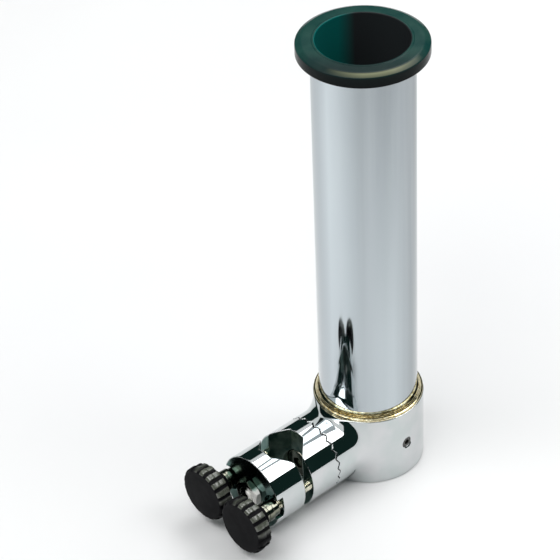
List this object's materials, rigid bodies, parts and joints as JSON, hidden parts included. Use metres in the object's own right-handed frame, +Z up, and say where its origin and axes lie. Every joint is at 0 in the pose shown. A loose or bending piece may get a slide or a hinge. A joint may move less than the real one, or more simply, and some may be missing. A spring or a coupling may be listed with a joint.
{
  "type": "rod holder",
  "caption": "Upright tube rod holder in a cup whose toothed swivel arm ends in a two-jaw rail clamp closed by fluted knobs.",
  "frame": {"origin": "centre of the cup's underside, on the tube's axis", "axes": "+Z up along the tube towards its mouth; the rail clamp reaches out along -X, its knobs at the far -X end; the tube's set screw faces -Y"},
  "size_m": [0.1218, 0.0574, 0.2243],
  "materials": {
    "tube_chrome": "polished drawn tube, mirror bright",
    "cast_chrome": "polished casting, mirror bright with slight casting waviness",
    "ring_metal": "finely turned bright ring, warm tint",
    "steel_screw": "bright turned stainless steel",
    "dark_steel": "blackened steel",
    "black_rubber": "smooth semi-gloss moulded rubber",
    "black_plastic": "glossy moulded plastic"
  },
  "bodies": {
    "holder": {"rod_tube": "tube_chrome", "mouth_insert": "black_rubber", "cup_trim_ring": "ring_metal", "socket_cup": "cast_chrome", "tube_set_screw": "dark_steel"},
    "pivot_washer": {"pivot_washer": "steel_screw"},
    "pivot_bolt": {"pivot_bolt": "steel_screw"},
    "inner_jaw": {"inner_jaw": "cast_chrome"},
    "outer_jaw": {"outer_jaw": "cast_chrome"},
    "pressure_screw": {"pressure_screw": "steel_screw"},
    "lock_nut": {"lock_nut": "steel_screw"},
    "left_knob": {"left_knob": "black_plastic", "left_knob_screw": "steel_screw", "left_ferrule": "steel_screw", "left_thrust_bush": "steel_screw"},
    "right_knob": {"right_knob": "black_plastic", "right_knob_screw": "steel_screw", "right_ferrule": "steel_screw", "right_thrust_bush": "steel_screw"}
  },
  "joints": [
    {"name": "pivot_release", "type": "slide", "parent": "holder", "child": "pivot_washer", "axis": [-1, 0, 0], "range_m": [0, 0.0025]},
    {"name": "pivot_bolt_turn", "type": "hinge", "parent": "pivot_washer", "child": "pivot_bolt", "pos_m": [-0.0406, 0, 0.018], "axis": [-1, 0, 0], "range_deg": [0, 720]},
    {"name": "clamp_swivel", "type": "hinge", "parent": "pivot_washer", "child": "inner_jaw", "pos_m": [-0.0358, 0, 0.018], "axis": [1, 0, 0], "continuous": true},
    {"name": "jaw_slide", "type": "slide", "parent": "inner_jaw", "child": "outer_jaw", "axis": [-1, 0, 0], "range_m": [-0.003, 0.004]},
    {"name": "left_knob_turn", "type": "hinge", "parent": "outer_jaw", "child": "left_knob", "pos_m": [-0.0735, 0.0142, 0.018], "axis": [-1, 0, 0], "range_deg": [-1350, 1800]},
    {"name": "right_knob_turn", "type": "hinge", "parent": "outer_jaw", "child": "right_knob", "pos_m": [-0.0761, -0.0142, 0.018], "axis": [-1, 0, 0], "range_deg": [-1350, 1800]},
    {"name": "pressure_screw_travel", "type": "slide", "parent": "outer_jaw", "child": "pressure_screw", "axis": [1, 0, 0], "range_m": [-0.001, 0.005]},
    {"name": "lock_nut_turn", "type": "hinge", "parent": "outer_jaw", "child": "lock_nut", "pos_m": [-0.0733, 0, 0.018], "axis": [-1, 0, 0], "range_deg": [0, 360]}
  ],
  "couplings": [
    {"joint": "pivot_bolt_turn", "follows": "pivot_release", "rad_per_m": 5026.5},
    {"joint": "left_knob_turn", "follows": "jaw_slide", "rad_per_m": 7854},
    {"joint": "right_knob_turn", "follows": "jaw_slide", "rad_per_m": 7854}
  ]
}
